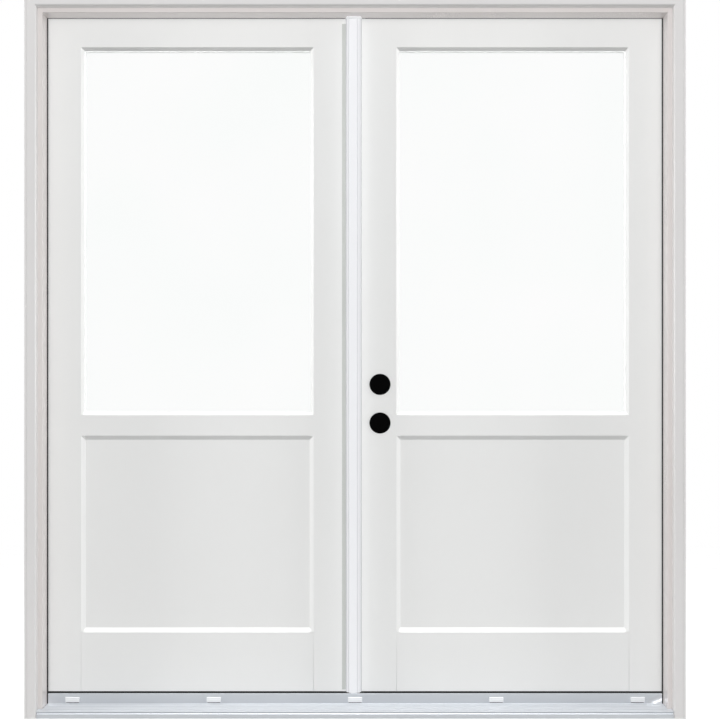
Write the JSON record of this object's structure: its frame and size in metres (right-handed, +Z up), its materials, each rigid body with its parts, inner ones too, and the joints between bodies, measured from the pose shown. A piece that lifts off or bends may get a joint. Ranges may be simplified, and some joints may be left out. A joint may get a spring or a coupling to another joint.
{
  "type": "french doors",
  "caption": "Inswing french doors in their frame: half-lite leaves over recessed panels, T-astragal with flush bolts, aluminium sill and narrow casing.",
  "frame": {"origin": "middle of the sill's underside, in the plane of the casing's back", "axes": "+X to the right seen from outside, -Y outside, +Y inside, +Z up"},
  "size_m": [1.916, 0.1624, 2.0983],
  "materials": {
    "leaf_paint": "smooth satin paint",
    "frame_paint": "smooth satin paint",
    "casing_vinyl": "smooth satin",
    "clear_glass": "clear",
    "spacer_metal": "satin",
    "white_vinyl": "matte",
    "black_seal": "matte",
    "black_plastic": "matte",
    "sill_composite": "matte",
    "sill_aluminium": "anodised satin",
    "white_plastic": "smooth",
    "astragal_coating": "smooth coating",
    "astragal_seal": "matte",
    "strike_steel": "satin",
    "hinge_metal": "satin nickel"
  },
  "bodies": {
    "frame": {"left_jamb": "frame_paint", "right_jamb": "frame_paint", "head_jamb": "frame_paint", "left_casing": "casing_vinyl", "right_casing": "casing_vinyl", "head_casing": "casing_vinyl", "sill_base": "sill_composite", "sill_extrusion": "sill_aluminium", "threshold_cap": "sill_composite", "weep_covers": "white_plastic", "corner_pads": "black_seal", "left_weatherstrip": "black_seal", "right_weatherstrip": "black_seal", "head_weatherstrip": "black_seal", "head_strike": "strike_steel", "sill_strike": "strike_steel", "strike_screws": "hinge_metal", "frame_screws": "hinge_metal", "sill_screws": "hinge_metal", "left_frame_hinges": "hinge_metal", "right_frame_hinges": "hinge_metal", "hinge_pins": "hinge_metal", "jamb_hinge_screws": "hinge_metal"},
    "active_leaf": {"active_hinge_stile": "leaf_paint", "active_meeting_stile": "leaf_paint", "active_top_rail": "leaf_paint", "active_lock_rail": "leaf_paint", "active_bottom_rail": "leaf_paint", "active_panel": "leaf_paint", "active_outer_pane": "clear_glass", "active_spacer": "spacer_metal", "active_inner_pane": "clear_glass", "active_glazing_tape": "white_vinyl", "active_glazing_beads": "leaf_paint", "active_sweep": "black_seal", "active_hinges": "hinge_metal", "active_hinge_screws": "hinge_metal", "bore_covers": "black_plastic"},
    "passive_leaf": {"passive_hinge_stile": "leaf_paint", "passive_meeting_stile": "leaf_paint", "passive_top_rail": "leaf_paint", "passive_lock_rail": "leaf_paint", "passive_bottom_rail": "leaf_paint", "passive_panel": "leaf_paint", "passive_outer_pane": "clear_glass", "passive_spacer": "spacer_metal", "passive_inner_pane": "clear_glass", "passive_glazing_tape": "white_vinyl", "passive_glazing_beads": "leaf_paint", "passive_sweep": "black_seal", "passive_hinges": "hinge_metal", "passive_hinge_screws": "hinge_metal", "astragal": "astragal_coating", "astragal_web": "astragal_coating", "astragal_cap": "white_plastic", "astragal_trim": "astragal_seal", "astragal_screws": "hinge_metal", "bolt_guides": "white_plastic"},
    "top_bolt": {"top_bolt": "strike_steel"},
    "bottom_bolt": {"bottom_bolt": "strike_steel"}
  },
  "joints": [
    {"name": "active_swing", "type": "hinge", "parent": "frame", "child": "active_leaf", "pos_m": [0.9232, 0.1234, 1], "axis": [0, 0, -1], "range_deg": [0, 160]},
    {"name": "passive_swing", "type": "hinge", "parent": "frame", "child": "passive_leaf", "pos_m": [-0.9232, 0.1234, 1], "axis": [0, 0, 1], "range_deg": [0, 144]},
    {"name": "top_bolt_slide", "type": "slide", "parent": "passive_leaf", "child": "top_bolt", "axis": [0, 0, 1], "range_m": [0, 0.018]},
    {"name": "bottom_bolt_slide", "type": "slide", "parent": "passive_leaf", "child": "bottom_bolt", "axis": [0, 0, -1], "range_m": [0, 0.018]}
  ],
  "couplings": [
    {"joint": "passive_swing", "follows": "active_swing", "ratio": 0.9}
  ]
}
